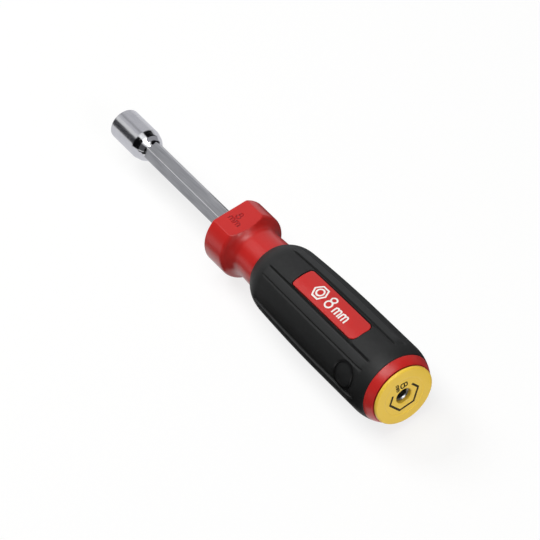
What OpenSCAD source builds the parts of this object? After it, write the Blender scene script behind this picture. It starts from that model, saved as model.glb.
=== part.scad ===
// Nut driver with a hollow hexagon shaft.
// Every piece is drawn along Z, from the mouth of the socket to the face of the end cap. The tool
// is then laid down: the cap points along +X, the label field faces +Z, and the grip rests on Z = 0.

/* [Socket] */
// Size of the nut across its flats
nut_af = 8; // [6:0.5:10]
// Clearance across the flats of the nut
nut_clearance = 0.1; // [0.05:0.05:0.3]
// Wall outside the flats of the nut recess
socket_wall = 2.5; // [2:0.1:4]
// Length of the socket's straight barrel
socket_len = 15.3; // [14:0.1:24]
// Depth of the nut recess
nut_depth = 12.5; // [8:0.5:13.5]
// Metal between the nut recess and the end of the shaft
socket_web = 1.5; // [0.8:0.1:2.5]
// Bevel on the outside edge of the socket's mouth
mouth_bevel = 0.5; // [0.2:0.1:1]
// Depth of the lead-in cone inside the socket's mouth
lead_in = 0.7; // [0.3:0.1:1.2]
// Length of the slow taper behind the barrel
taper_len = 3.1; // [2:0.1:6]
// How far the slow taper comes in
taper_drop = 0.8; // [0.4:0.05:1.2]
// Length of the steeper taper down to the throat
throat_len = 1.9; // [1:0.1:4]
// How far the throat stands over the corners of the hexagon shaft
throat_lip = 0.3; // [0.1:0.05:0.5]
// Length of the run-out from the throat onto the flats of the shaft
runout_len = 0.7; // [0.4:0.1:2]
// Thickness of the run-out where it ends on a flat
runout_lip = 0.1; // [0.05:0.05:0.3]

/* [Shaft] */
// Size of the hexagon shaft across its flats
shaft_af = 7.5; // [7:0.1:8.2]
// Metal ground off each corner of the hexagon
corner_bevel = 0.08; // [0.02:0.02:0.2]
// Diameter of the hollow through the shaft
bore_d = 5.5; // [4.5:0.1:6]
// Length of shaft that shows between the socket and the handle
shaft_show = 56.1; // [30:0.1:120]

/* [Bolster and neck] */
// Diameter of the bolster at the front of the handle
bolster_d = 27.8; // [25:0.2:31]
// Length of the bolster at its full diameter
bolster_len = 10.3; // [6:0.1:20]
// Rounding of the bolster's front edge
bolster_edge_r = 0.6; // [0.2:0.1:1.5]
// Rounding of the bolster's rear rim
rim_r = 2.2; // [1:0.1:4]
// Radius of the scoop from the rim down to the neck
scoop_r = 4.8; // [3:0.1:8]
// Depth of the flat on the bolster that carries the size mark
mark_flat_depth = 2.2; // [1:0.1:3]
// Diameter of the neck at the end of the scoop
neck_d = 20.5; // [18:0.1:22]
// Diameter of the neck where the grip starts
neck_rear_d = 21.2; // [19:0.1:22]
// Length of the neck between the scoop and the grip
neck_len = 9.9; // [4:0.1:20]

/* [Grip] */
// Thickness of the grip's front lip on the neck
nose_lip = 0.2; // [0.1:0.05:0.6]
// Length of the rounded shoulder at the front of the grip
shoulder_len = 8.6; // [6:0.1:12]
// Length over which the grip swells to its full diameter
swell_len = 40; // [20:0.5:60]
// How far the grip swells out over that length
swell_rise = 1.275; // [0.5:0.025:2]
// Full diameter of the grip, on the panels between its strips
grip_d = 31.3; // [30.5:0.1:36]
// Length of the grip at its full diameter
barrel_len = 22.7; // [10:0.1:50]
// Length of the grip's rounded tail
tail_len = 6.2; // [3:0.1:8]
// Thickness of the grip over the core inside it
grip_wall = 3.35; // [2:0.05:4.5]
// Number of pairs of raised strips along the grip, the two of a pair on opposite sides
strip_pairs = 3; // [2:1:4]
// Width of a strip
strip_w = 3.7; // [2:0.1:5]
// Height of the strips over the panels
strip_h = 0.4; // [0.2:0.05:0.8]
// How much later the strips start, and how much sooner they end, than the panels
strip_fade = 3; // [2:0.1:5]

/* [Label field] */
// Distance from the grip's front edge to the label field
label_start = 22; // [14:0.1:28]
// Length of the label field
label_len = 38.5; // [20:0.5:44]
// Width of the label field
label_w = 9.8; // [6:0.1:11]
// Radius of the label field's two front corners
label_front_r = 1.2; // [0.4:0.1:3]
// Radius of the label field's two rear corners
label_rear_r = 2.8; // [0.4:0.1:3]
// How far the label field lies below the panel round it
label_drop = 0.25; // [0.1:0.05:0.6]
// Shadow gap round the label field
label_gap = 0.3; // [0.1:0.05:0.5]

/* [Ring and cap] */
// Length of the core's ring that shows behind the grip
ring_len = 3.95; // [2:0.05:6]
// How far the handle rounds in from its full radius to the end of that ring
ring_drop = 3.05; // [1:0.05:4]
// Step from the ring in to the edge of the cap
cap_step = 0.1; // [0:0.05:0.5]
// Height of the cap over the ring
cap_rise = 1.25; // [0.8:0.05:3]
// Rounding of the cap's edge
cap_edge_r = 1.1; // [0.3:0.1:2]
// Width of the core's edge round the plug of the cap
plug_wall = 1.6; // [0.8:0.1:4]
// Depth of the plug in the core
plug_depth = 0.8; // [0.4:0.1:2.5]
// Diameter of the hole through the cap
cap_hole_d = 6.4; // [6:0.1:9]
// Bevel round the hole in the cap
cap_hole_bevel = 0.35; // [0.1:0.05:0.8]
// Width of the cap's rim round the shallow dish in its face
cap_rim = 4.1; // [2.2:0.1:6]
// Depth of that dish
dish_depth = 0.15; // [0.05:0.05:0.4]

/* [Hidden] */

$fn = 128;
// The swell is a very large circle, so it needs more sides to stay smooth.
swell_fn = 900;
hex_sides = 6;
// Where the first strip lies between the label side and the next panel.
strip_turn_share = 0.5;
// Turns a hexagon so that a flat, not a corner, faces the label side.
hex_turn = 180 / hex_sides;
// How far every cut runs past the metal or plastic it removes.
overrun = 1;

// Radii across the tool
recess_ac = (nut_af + nut_clearance) / cos(hex_turn);
socket_r = (nut_af + nut_clearance) / 2 + socket_wall;
taper_r = socket_r - taper_drop;
shaft_ac = shaft_af / cos(hex_turn);
throat_r = shaft_ac / 2 + throat_lip;
runout_r = shaft_af / 2 + runout_lip;
corner_r = shaft_ac / 2 - corner_bevel;
bolster_r = bolster_d / 2;
neck_r = neck_d / 2;
neck_rear_r = neck_rear_d / 2;
nose_r = neck_rear_r + nose_lip;
grip_r = grip_d / 2;
core_r = grip_r - grip_wall;
ring_end_r = grip_r - ring_drop;
plug_r = ring_end_r - plug_wall;
cap_r = ring_end_r - cap_step;
dish_r = cap_r - cap_rim;
cap_edge = min(cap_edge_r, cap_rise);

// The rim and the scoop are two arcs that touch, so their centres lie rim_r + scoop_r apart.
neck_drop = bolster_r - neck_r;
arc_sum = rim_r + scoop_r;
scoop_len = sqrt(2 * arc_sum * neck_drop - neck_drop * neck_drop);

// Stations along the tool, from the mouth of the socket
z_seat = nut_depth + socket_web;
z_taper = socket_len + taper_len;
z_throat = z_taper + throat_len;
z_runout = z_throat + runout_len;
z_bolster = z_runout + shaft_show;
z_rim = z_bolster + bolster_len;
z_neck = z_rim + scoop_len;
z_grip = z_neck + neck_len;
z_shoulder = z_grip + shoulder_len;
z_peak = z_shoulder + swell_len;
z_tail = z_peak + barrel_len;
z_grip_end = z_tail + tail_len;
z_ring_end = z_grip_end + ring_len;
z_plug = z_ring_end - plug_depth;
overall = z_ring_end + cap_rise;
z_label = z_grip + label_start + label_len / 2;

// Radius of the arc that rises by the swell and is level at the full diameter
swell_r = (swell_len * swell_len + swell_rise * swell_rise) / (2 * swell_rise);
// A length that clears every radius of the handle
reach = grip_r + strip_h + overrun;

// Radius of the arc that passes through point p and leaves point t at right angles to normal n.
function touching_r(p, t, n) = -((p - t) * (p - t)) / (2 * ((p - t) * n));

// Lays the finished tool down on its grip.
module laid_down() {
    translate([-overall / 2, 0, grip_r])
        rotate([0, 90, 0])
            rotate([0, 0, 180])
                children();
}

// Part of a half profile between two stations.
module between(z_low, z_high) {
    intersection() {
        children();
        translate([0, z_low]) square([reach, z_high - z_low]);
    }
}

// Half profile of the grip and the ring: a shoulder arc, a long swell, a straight barrel and a tail
// arc that run into each other without a corner. lift moves it outwards, and fade draws its ends in.
module handle_half(lift, fade) {
    full_r = grip_r + lift;
    arc_r = swell_r + lift;
    z_start = z_grip + fade;
    z_turn = z_shoulder + fade;
    z_drop = z_tail - fade;
    z_stop = z_ring_end - fade;
    lean = asin((z_peak - z_turn) / arc_r);
    outward = [cos(lean), -sin(lean)];
    arc_centre = [grip_r - swell_r, z_peak];
    turn_point = arc_centre + arc_r * outward;
    shoulder_r = touching_r([nose_r + lift, z_start], turn_point, outward);
    tail_r = touching_r([ring_end_r + lift, z_stop], [full_r, z_drop], [1, 0]);
    between(z_start, z_turn)
        translate(turn_point - shoulder_r * outward) circle(r = shoulder_r);
    between(z_turn, z_peak)
        translate(arc_centre) circle(r = arc_r, $fn = swell_fn);
    translate([0, z_peak]) square([full_r, z_drop - z_peak]);
    between(z_drop, z_stop)
        translate([full_r - tail_r, z_drop]) circle(r = tail_r);
}

// Half profile of the core's body inside the grip, from the neck to past the grip's end.
module core_body_half() {
    polygon([
        [0, z_neck],
        [neck_r, z_neck],
        [neck_rear_r, z_grip],
        [core_r, z_shoulder],
        [core_r, z_grip_end + overrun],
        [0, z_grip_end + overrun]
    ]);
}

// Half profile of the bolster and of the scoop behind it.
module bolster_half() {
    edge_in = bolster_r - bolster_edge_r;
    edge_z = z_bolster + bolster_edge_r;
    rim_centre = [bolster_r - rim_r, z_rim];
    scoop_centre = [neck_r + scoop_r, z_neck];
    touch = rim_centre + (scoop_centre - rim_centre) * rim_r / arc_sum;
    translate([0, z_bolster]) square([edge_in, bolster_len]);
    translate([0, edge_z]) square([bolster_r, bolster_len - bolster_edge_r]);
    translate([edge_in, edge_z]) circle(r = bolster_edge_r);
    translate(rim_centre) circle(r = rim_r);
    difference() {
        polygon([[0, z_rim], rim_centre, touch, scoop_centre, [neck_r, z_neck], [0, z_neck]]);
        translate(scoop_centre) circle(r = scoop_r);
    }
}

// Hexagon bar with its corners ground off, from one station to another.
module hexagon_bar(z_low, z_high) {
    translate([0, 0, z_low]) intersection() {
        rotate([0, 0, hex_turn]) cylinder(d = shaft_ac, h = z_high - z_low, $fn = hex_sides);
        cylinder(r = corner_r, h = z_high - z_low);
    }
}

// End of the label field: half its length, with two corners of one radius. It runs along +X.
module label_end(half_len, half_w, corner) {
    translate([0, -half_w]) square([half_len - corner, 2 * half_w]);
    translate([0, corner - half_w]) square([half_len, 2 * (half_w - corner)]);
    for (side = [-1, 1])
        translate([half_len - corner, side * (half_w - corner)]) circle(r = corner);
}

// Block with round corners that stands up from the axis under the label field.
module label_block(grow) {
    half_len = label_len / 2 + grow;
    half_w = label_w / 2 + grow;
    translate([0, 0, z_label]) rotate([0, 90, 0]) linear_extrude(reach) {
        label_end(half_len, half_w, label_front_r + grow);
        rotate(180) label_end(half_len, half_w, label_rear_r + grow);
    }
}

module socket() {
    color("gainsboro") laid_down() difference() {
        rotate_extrude() polygon([
            [0, 0],
            [socket_r - mouth_bevel, 0],
            [socket_r, mouth_bevel],
            [socket_r, socket_len],
            [taper_r, z_taper],
            [throat_r, z_throat],
            [runout_r, z_runout],
            [0, z_runout]
        ]);
        translate([0, 0, -overrun]) rotate([0, 0, hex_turn])
            cylinder(d = recess_ac, h = nut_depth + overrun, $fn = hex_sides);
        translate([0, 0, -overrun])
            cylinder(r1 = recess_ac / 2 + overrun, r2 = recess_ac / 2 - lead_in, h = lead_in + overrun);
        translate([0, 0, nut_depth - overrun]) cylinder(d = bore_d, h = socket_web + 2 * overrun);
        hexagon_bar(z_seat, z_runout + overrun);
    }
}

module hex_shaft() {
    color("silver") laid_down() difference() {
        hexagon_bar(z_seat, z_plug);
        translate([0, 0, z_seat - overrun]) cylinder(d = bore_d, h = z_plug - z_seat + 2 * overrun);
    }
}

module handle_core() {
    color("firebrick") laid_down() difference() {
        union() {
            rotate_extrude() {
                bolster_half();
                core_body_half();
                between(z_grip_end, z_ring_end) handle_half(0, 0);
            }
            intersection() {
                label_block(0);
                rotate_extrude() handle_half(-label_drop, 0);
            }
        }
        hexagon_bar(z_bolster - overrun, z_ring_end + overrun);
        translate([0, 0, z_plug]) cylinder(r = plug_r, h = plug_depth + overrun);
        translate([bolster_r - mark_flat_depth, -bolster_r, z_bolster - overrun])
            cube([mark_flat_depth + overrun, bolster_d, z_neck - z_bolster + overrun]);
    }
}

module grip_sleeve() {
    color("dimgray") laid_down() difference() {
        union() {
            rotate_extrude() between(z_grip, z_grip_end) handle_half(0, 0);
            intersection() {
                rotate_extrude() between(z_grip, z_grip_end) {
                    handle_half(0, 0);
                    handle_half(strip_h, strip_fade);
                }
                for (i = [0 : strip_pairs - 1])
                    rotate([0, 0, (i + strip_turn_share) * 180 / strip_pairs])
                        translate([-reach, -strip_w / 2, z_grip])
                            cube([2 * reach, strip_w, z_grip_end - z_grip]);
            }
        }
        rotate_extrude() core_body_half();
        label_block(label_gap);
    }
}

module end_cap() {
    color("goldenrod") laid_down() rotate_extrude() difference() {
        union() {
            translate([0, z_plug]) square([plug_r, plug_depth]);
            translate([0, z_ring_end]) square([cap_r - cap_edge, cap_rise]);
            translate([0, z_ring_end]) square([cap_r, cap_rise - cap_edge]);
            between(z_ring_end, overall)
                translate([cap_r - cap_edge, overall - cap_edge]) circle(r = cap_edge);
        }
        translate([0, z_plug - overrun]) square([cap_hole_d / 2, overall - z_plug + 2 * overrun]);
        translate([0, overall - dish_depth]) square([dish_r, dish_depth + overrun]);
        polygon([
            [0, overall - dish_depth - cap_hole_bevel],
            [cap_hole_d / 2, overall - dish_depth - cap_hole_bevel],
            [cap_hole_d / 2 + cap_hole_bevel, overall - dish_depth],
            [0, overall - dish_depth]
        ]);
    }
}

socket();
hex_shaft();
handle_core();
grip_sleeve();
end_cap();
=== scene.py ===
# %% [markdown]
# # A nut driver, dressed for the studio
# The tool has five pieces: a chrome socket, a hollow hexagon shaft, a moulded handle core, a soft
# grip moulded over that core, and an end cap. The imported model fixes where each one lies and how
# large it is. Here every piece gets its finished surface, a real material and the light of a
# photographer's table. Nothing is moved.

# %% The frame
import math

import bpy
import numpy as np
from mathutils import Matrix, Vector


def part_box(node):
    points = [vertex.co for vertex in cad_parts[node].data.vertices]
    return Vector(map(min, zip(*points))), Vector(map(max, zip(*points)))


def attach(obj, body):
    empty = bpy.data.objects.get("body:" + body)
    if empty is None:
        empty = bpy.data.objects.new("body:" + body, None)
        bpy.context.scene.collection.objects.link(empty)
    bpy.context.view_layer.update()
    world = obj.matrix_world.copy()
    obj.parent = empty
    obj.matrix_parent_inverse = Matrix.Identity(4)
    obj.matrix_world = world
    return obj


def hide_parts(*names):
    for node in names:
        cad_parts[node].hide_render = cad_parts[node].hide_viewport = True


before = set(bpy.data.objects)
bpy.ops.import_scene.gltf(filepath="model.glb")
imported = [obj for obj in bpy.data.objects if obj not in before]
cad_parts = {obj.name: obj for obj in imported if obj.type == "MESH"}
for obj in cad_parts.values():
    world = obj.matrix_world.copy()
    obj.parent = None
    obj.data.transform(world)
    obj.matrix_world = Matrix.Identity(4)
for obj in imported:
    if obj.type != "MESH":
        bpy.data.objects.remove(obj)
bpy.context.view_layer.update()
print("pieces in the frame:", sorted(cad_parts))

# %% [markdown]
# ## Sizes
# All lengths below are millimetres, because that is how the tool is dimensioned. A station is a
# distance from the socket's mouth along the tool. The ends and the main radii are read from the
# frame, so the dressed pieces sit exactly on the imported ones. Smaller sizes repeat the values of
# the part's own construction.

# %% Stations and radii read from the frame
MM = 0.001


def stations(node):
    """First and last station of a node: its lowest and highest x, from the socket's mouth."""
    low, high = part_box(node)
    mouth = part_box("socket")[0].x
    return (low.x - mouth) / MM, (high.x - mouth) / MM


def half_size(node, axis):
    """Half of a node's size along one axis of the frame, in mm."""
    low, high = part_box(node)
    return (high[axis] - low[axis]) / 2 / MM


Y, Z = 1, 2
MOUTH_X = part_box("socket")[0].x / MM
AXIS_Z = (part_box("hex_shaft")[0].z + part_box("hex_shaft")[1].z) / 2 / MM
RUNOUT_END = stations("socket")[1]
SHAFT_START, SHAFT_END = stations("hex_shaft")
CORE_START, CORE_END = stations("handle_core")
GRIP_START, GRIP_END = stations("grip_sleeve")
PLUG_START, CAP_FACE = stations("end_cap")
SOCKET_R = half_size("socket", Y)
SHAFT_FLAT = half_size("hex_shaft", Z)
SHAFT_CORNER = half_size("hex_shaft", Y)
CAP_R = half_size("end_cap", Y)
GRIP_R = AXIS_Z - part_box("grip_sleeve")[0].z / MM
print(f"axis {AXIS_Z:.2f} mm above the table, grip radius {GRIP_R:.2f}, length {CAP_FACE:.2f}")

# %% [markdown]
# ## One builder for five pieces
# A hole runs through the whole tool, so every piece is a ring: its cross-section is a closed
# outline, and the outline goes once round the axis. A lathe modifier could spin an outline, but the
# socket, the shaft and the grip are not round. So each piece is a grid instead. Rows walk round the
# section, columns walk round the axis, and both wrap, which leaves no open edge and no pole. A
# station, a radius and an angle for each grid point give the shape.

# %% Ring solids
SHARP = math.radians(24)


def linked(name, data):
    """A new object of the scene that shows data."""
    made = bpy.data.objects.new(name, data)
    bpy.context.scene.collection.objects.link(made)
    return made


def mesh_piece(name, points, faces):
    """A mesh object from quads and from points in mm, in the tool's own frame.
    Edges that turn more than SHARP stay crisp."""
    mesh = bpy.data.meshes.new(name)
    mesh.vertices.add(len(points))
    mesh.vertices.foreach_set("co", (points * MM).astype(np.float32).ravel())
    mesh.loops.add(faces.size)
    mesh.loops.foreach_set("vertex_index", faces.astype(np.int32).ravel())
    mesh.polygons.add(len(faces))
    mesh.polygons.foreach_set("loop_start", np.arange(len(faces), dtype=np.int32) * faces.shape[1])
    mesh.update(calc_edges=True)
    mesh.validate()
    mesh.shade_smooth()
    mesh.set_sharp_from_angle(angle=SHARP)
    print(f"{name}: {len(points)} points, {len(faces)} quads")
    return linked(name, mesh)


def around(u, rho, theta):
    """Points at station u, radius rho and angle theta from the label side (+Z) towards +Y:
    x = mouth + u, y = rho sin(theta), z = axis + rho cos(theta)."""
    u, rho, theta = np.broadcast_arrays(u, rho, theta)
    return np.stack([MOUTH_X + u, rho * np.sin(theta), AXIS_Z + rho * np.cos(theta)], -1)


def wrapped_quads(rows, cols):
    """Quads of a grid whose rows and columns both wrap. Rows run rearwards outside and forwards
    inside, and columns turn from +Z to +Y, so every quad faces out of the solid."""
    i, j = np.meshgrid(np.arange(rows), np.arange(cols), indexing="ij")
    below, beside = (i + 1) % rows, (j + 1) % cols
    return np.stack([i * cols + j, below * cols + j, below * cols + beside, i * cols + beside], -1)


def ring_solid(name, u, rho, theta):
    """A closed ring round the axis from grids of stations, radii and angles."""
    points = around(u, rho, theta)
    rows, cols = points.shape[:2]
    return mesh_piece(name, points.reshape(-1, 3), wrapped_quads(rows, cols).reshape(-1, 4))


# %% [markdown]
# ## Outlines with rounded corners
# No moulded or machined edge is perfectly sharp, and it is the small radius on an edge that catches
# the light. An outline is written as its corners, with one radius for each. A bevel modifier could
# round them too, but here the radius is part of the drawing, and long straight runs are cut into
# steps so that shading stays true.

# %% Outline helpers
ARC_STEP = math.radians(9)
SIXTH = math.pi / 3


def straight(start, end, step):
    """Points from start to end in equal steps no longer than step."""
    count = max(2, 1 + math.ceil(np.linalg.norm(end - start) / step))
    return start + np.linspace(0, 1, count)[:, None] * (end - start)


def rounded(corners, radii, step=0.6):
    """An outline through corners (station, radius), corner k rounded by an arc of radii[k].

    An arc of radius r that turns the outline by an angle a touches both sides r tan(a / 2) from
    the corner. Its points are the first touching point turned about the arc's centre."""
    corners = np.asarray(corners, float)
    outline = [corners[:1]]
    for corner, ahead, radius in zip(corners[1:-1], corners[2:], radii[1:-1]):
        start = outline[-1][-1]
        along = (corner - start) / np.linalg.norm(corner - start)
        away = (ahead - corner) / np.linalg.norm(ahead - corner)
        turn = math.atan2(along[0] * away[1] - along[1] * away[0], along @ away)
        touch = corner - along * radius * math.tan(abs(turn) / 2)
        centre = touch + math.copysign(radius, turn) * np.array([-along[1], along[0]])
        steps = max(1, round(abs(turn) / ARC_STEP)) if radius else 0
        angle = np.linspace(0, turn, 1 + steps)[:, None]
        spoke = touch - centre
        across = np.array([-spoke[1], spoke[0]])
        outline.append(straight(start, touch, step)[1:-1])
        outline.append(centre + np.cos(angle) * spoke + np.sin(angle) * across)
    outline.append(straight(outline[-1][-1], corners[-1], step)[1:])
    return np.concatenate(outline)


def hexagon(flat, theta):
    """Radius of a hexagon with a flat towards +Z: flat / cos(angle from the nearest flat)."""
    return flat / np.cos((theta + SIXTH / 2) % SIXTH - SIXTH / 2)


def bar_radius(theta):
    """Radius of the drawn bar: the smaller of its hexagon and the circle that breaks its corners."""
    return np.minimum(hexagon(SHAFT_FLAT, theta), SHAFT_CORNER)


print(f"bar: {2 * SHAFT_FLAT:.2f} mm across flats, {2 * SHAFT_CORNER:.2f} mm across corners")

# %% [markdown]
# ## The socket
# The socket is turned from bar and forged over a hexagon punch, then chromed. Behind its straight
# barrel it comes in twice, first slowly and then steeply, and the last short cone runs out onto the
# flats of the shaft. The cone meets each flat later than each corner, so its end is scalloped. That
# comes for free when the last row's station is worked out from the hexagon's radius at each angle.

# %% Socket
MOUTH_BEVEL, MOUTH_FACE_R = 0.5, 5.2
BARREL_END, TAPER_END, THROAT_END = 15.3, 18.4, 20.3
TAPER_R, THROAT_R, RUNOUT_R = 5.75, 4.63, 3.85
SOCKET_ROUNDING = (0, 0.25, 0.4, 0.35, 0.3, 0)
RECESS_FLAT, RECESS_DEPTH, LEAD_IN, BORE_R = 4.05, 12.5, 0.7, 2.75
SEAT_LIP = 0.03


def full_turn(columns):
    """Angles of even columns, once round the axis, as one row."""
    return np.linspace(0, 2 * math.pi, columns, endpoint=False)[None, :]


def stacked(bands):
    """Bands of rows, each spread over the same columns, one after the other in every grid."""
    grids = [np.broadcast_arrays(*map(np.atleast_2d, band)) for band in bands]
    return [np.concatenate(part) for part in zip(*grids)]


def socket_grid(columns=180):
    """Outer outline, scalloped run-out, seat of the shaft, bore, nut recess and lead-in cone.

    The run-out is a cone, so its station rises evenly while its radius falls to the bar's."""
    theta = full_turn(columns)
    outside = rounded(
        [(0, MOUTH_FACE_R), (0, SOCKET_R - MOUTH_BEVEL), (MOUTH_BEVEL, SOCKET_R),
         (BARREL_END, SOCKET_R), (TAPER_END, TAPER_R), (THROAT_END, THROAT_R)],
        SOCKET_ROUNDING)
    bar = bar_radius(theta)
    lip_r = np.maximum(bar + SEAT_LIP, RUNOUT_R)
    cone_len, cone_drop = RUNOUT_END - THROAT_END, THROAT_R - RUNOUT_R
    lip_u = THROAT_END + cone_len * (THROAT_R - lip_r) / cone_drop
    share = np.linspace(0, 1, 7)[1:, None]
    runout_u = THROAT_END + share * (lip_u - THROAT_END)
    runout_r = THROAT_R + share * (lip_r - THROAT_R)
    nut = hexagon(RECESS_FLAT, theta)
    lead_u = np.linspace(LEAD_IN, 0, 6)[:, None]
    lead_r = np.maximum(nut, RECESS_FLAT / math.cos(SIXTH / 2) - lead_u)
    wall_u = np.linspace(RECESS_DEPTH, LEAD_IN, 10)[:-1, None]
    rows = [
        (outside[:, :1], outside[:, 1:]), (runout_u, runout_r), (lip_u, bar), (SHAFT_START, bar),
        (SHAFT_START, BORE_R), (RECESS_DEPTH, BORE_R), (wall_u, nut), (lead_u, lead_r)]
    return stacked([(u, rho, theta) for u, rho in rows])


socket = ring_solid("chrome_socket", *socket_grid())

# %% [markdown]
# ## The shaft
# The shaft is drawn hexagon bar with a hole through it, so a bolt's free end can pass up inside.
# Drawing leaves the flats true and the corners slightly broken. A cylinder with six sides would have
# knife edges, so each corner here gets a narrow rounded land, and extra columns next to it keep the
# flats flat in the shading. Each point also stores whether it lies on a land, where the finish is
# smoother and a brighter tint paints a highlight.

# %% Shaft
END_BREAK, BORE_BREAK, PLAIN_START = 0.25, 0.5, 2
LAND_MARGIN_DEG, LAND_SLACK_DEG = 0.6, 0.01
SHAFT_ROWS, BORE_ROWS = 84, 40


def paint(piece, name, values):
    """Stores one number for each point of a piece, under a name that a material can read."""
    layer = piece.data.attributes.new(name, "FLOAT", "POINT")
    layer.data.foreach_set("value", values.astype(np.float32).ravel())


def shaft_grid():
    """Radius = that of the bar outside and of the bore inside, with columns on both edges of each
    land. The last grid is 1 on the lands, which hands and spanners burnish smooth, and which carry a
    painted highlight in their tint."""
    land = math.degrees(math.acos(SHAFT_FLAT / SHAFT_CORNER))
    flat = np.linspace(-land + LAND_MARGIN_DEG, land - LAND_MARGIN_DEG, 9)
    sector = np.concatenate([flat, [land, 30, 60 - land]])
    theta = np.radians(np.concatenate([sector + 60 * k for k in range(6)]))[None, :]
    on_land = (np.tile(sector, 6) >= land - LAND_SLACK_DEG)[None, :]
    length = SHAFT_END - SHAFT_START
    plain = np.linspace(PLAIN_START, length - PLAIN_START, SHAFT_ROWS)
    along = np.concatenate([[0, END_BREAK], plain])
    u = SHAFT_START + np.concatenate([along, length - along[1::-1]])[:, None]
    break_in = np.maximum(END_BREAK - np.minimum(u - SHAFT_START, SHAFT_END - u), 0)
    inward = np.linspace(SHAFT_END - BORE_BREAK, SHAFT_START, BORE_ROWS)
    bore_u = np.concatenate([[SHAFT_END], inward])[:, None]
    bore_r = BORE_R + np.maximum(bore_u - SHAFT_END + BORE_BREAK, 0)
    return stacked([(u, bar_radius(theta) - break_in, theta, on_land), (bore_u, bore_r, theta, False)])


*shaft_shape, shaft_land = shaft_grid()
shaft = ring_solid("hexagon_shaft", *shaft_shape)
paint(shaft, "land", shaft_land)

# %% [markdown]
# ## The handle's outer curve
# The grip, the label field and the rear ring all follow one curve: a rounded shoulder, a long slow
# swell, a straight barrel and a rounded tail. A spline could be drawn by eye, but a chain of arcs
# that touch without a corner can be measured and cut into a mould. The raised strips follow the same
# curve, lifted by their height and drawn in at both ends, and show only where that lies outside.

# %% Handle curve
SHOULDER_LEN, SWELL_LEN, SWELL_RISE, BARREL_LEN = 8.6, 40.0, 1.275, 22.7
NOSE_R, RING_DROP = 10.8, 3.05
SHOULDER_END = GRIP_START + SHOULDER_LEN
SWELL_END = SHOULDER_END + SWELL_LEN
TAIL_START = SWELL_END + BARREL_LEN


def touching_radius(point, touch, normal):
    """Radius of the arc through point that leaves touch at right angles to normal:
    -|p|^2 / (2 p.normal), with p from touch to point."""
    p = point - touch
    return -(p @ p) / (2 * (p @ normal))


def handle_radius(u, lift=0.0, fade=0.0):
    """Radius of the handle at station u: shoulder arc, swell arc, barrel and tail arc.
    Lift moves the curve out, and fade draws its two end arcs in."""
    turn, drop = SHOULDER_END + fade, TAIL_START - fade
    swell_r = (SWELL_LEN**2 + SWELL_RISE**2) / (2 * SWELL_RISE)
    lean = math.asin((SWELL_END - turn) / (swell_r + lift))
    out = np.array([-math.sin(lean), math.cos(lean)])
    joint = np.array([SWELL_END, GRIP_R - swell_r]) + (swell_r + lift) * out
    nose_r = touching_radius(np.array([GRIP_START + fade, NOSE_R + lift]), joint, out)
    nose = joint - nose_r * out
    full = GRIP_R + lift
    tail_end = np.array([CORE_END - fade, full - RING_DROP])
    tail_r = touching_radius(tail_end, np.array([drop, full]), np.array([0.0, 1.0]))
    arcs = [
        nose[1] + np.sqrt(np.maximum(nose_r**2 - (u - nose[0]) ** 2, 0)),
        GRIP_R - swell_r + np.sqrt((swell_r + lift) ** 2 - (u - SWELL_END) ** 2),
        full + 0 * u,
        full - tail_r + np.sqrt(np.maximum(tail_r**2 - (u - drop) ** 2, 0))]
    return np.select([u < turn, u < SWELL_END, u < drop], arcs[:3], arcs[3])


curve_ends = np.array([GRIP_START, SHOULDER_END, SWELL_END, GRIP_END])
print("handle radii:", np.round(handle_radius(curve_ends), 2))

# %% [markdown]
# ## The label field and its window
# The red core rises through a window in the black grip as a long label field. Its front corners are
# tight and its rear corners generous. A boolean cut would leave ragged triangles on such a thin gap.
# Instead, the grids of core and grip both have lines on the field's edges, and a small map slides
# the grid near each corner so that a square corner becomes a quarter circle. A distance formula for
# the same outline gives the edge its roundness.

# %% Label field helpers
FIELD_START, FIELD_END, FIELD_HALF = 125.45, 163.95, 4.9
FIELD_FRONT_R, FIELD_REAR_R = 1.2, 2.8
COLUMN_R_LEAST = 15.0


def round_corners(u, v, grow, reach=0.4):
    """Slides grid points so that the square corners of the field, grown by grow, become quarter
    circles.

    With a and b counted from the arc's centre, 1 on the end and 1 on the side, the square maps to
    the circle by a sqrt(1 - b^2 / 2), b sqrt(1 - a^2 / 2). Outside the edge the slide fades out
    over reach."""
    half = FIELD_HALF + grow
    for corner, inward, radius in ((FIELD_START - grow, 1, FIELD_FRONT_R + grow),
                                   (FIELD_END + grow, -1, FIELD_REAR_R + grow)):
        a = 1 - (u - corner) * inward / radius
        b = 1 - (half - np.abs(v)) / radius
        outer = np.maximum(np.maximum(a, b), 1)
        near = np.where((a > 0) & (b > 0), np.clip(1 - (outer - 1) * radius / reach, 0, 1), 0)
        a, b = a / outer, b / outer
        pull_a = a * (np.sqrt(np.maximum(1 - b**2 / 2, 0)) - 1) * near * radius
        pull_b = b * (np.sqrt(np.maximum(1 - a**2 / 2, 0)) - 1) * near * radius
        u, v = u - inward * pull_a, v + np.sign(v) * pull_b
    return u, v


def field_distance(u, v, grow):
    """Distance outside the field's outline, grown by grow: a box distance with round corners."""
    middle, half_len = (FIELD_START + FIELD_END) / 2, (FIELD_END - FIELD_START) / 2 + grow
    radius = np.where(u < middle, FIELD_FRONT_R, FIELD_REAR_R) + grow
    du = np.abs(u - middle) - half_len + radius
    dv = np.abs(v) - FIELD_HALF - grow + radius
    inside = np.minimum(np.maximum(du, dv), 0)
    return np.hypot(np.maximum(du, 0), np.maximum(dv, 0)) + inside - radius


def column_radius(u):
    """Radius that turns a sideways distance into an angle: the handle's, without its two ends, so
    that grid columns run parallel to the field's sides."""
    return np.clip(handle_radius(np.clip(u, SHOULDER_END, TAIL_START)), COLUMN_R_LEAST, GRIP_R)


print(f"label field: {FIELD_END - FIELD_START:.1f} mm long, {2 * FIELD_HALF:.1f} mm wide")

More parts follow.
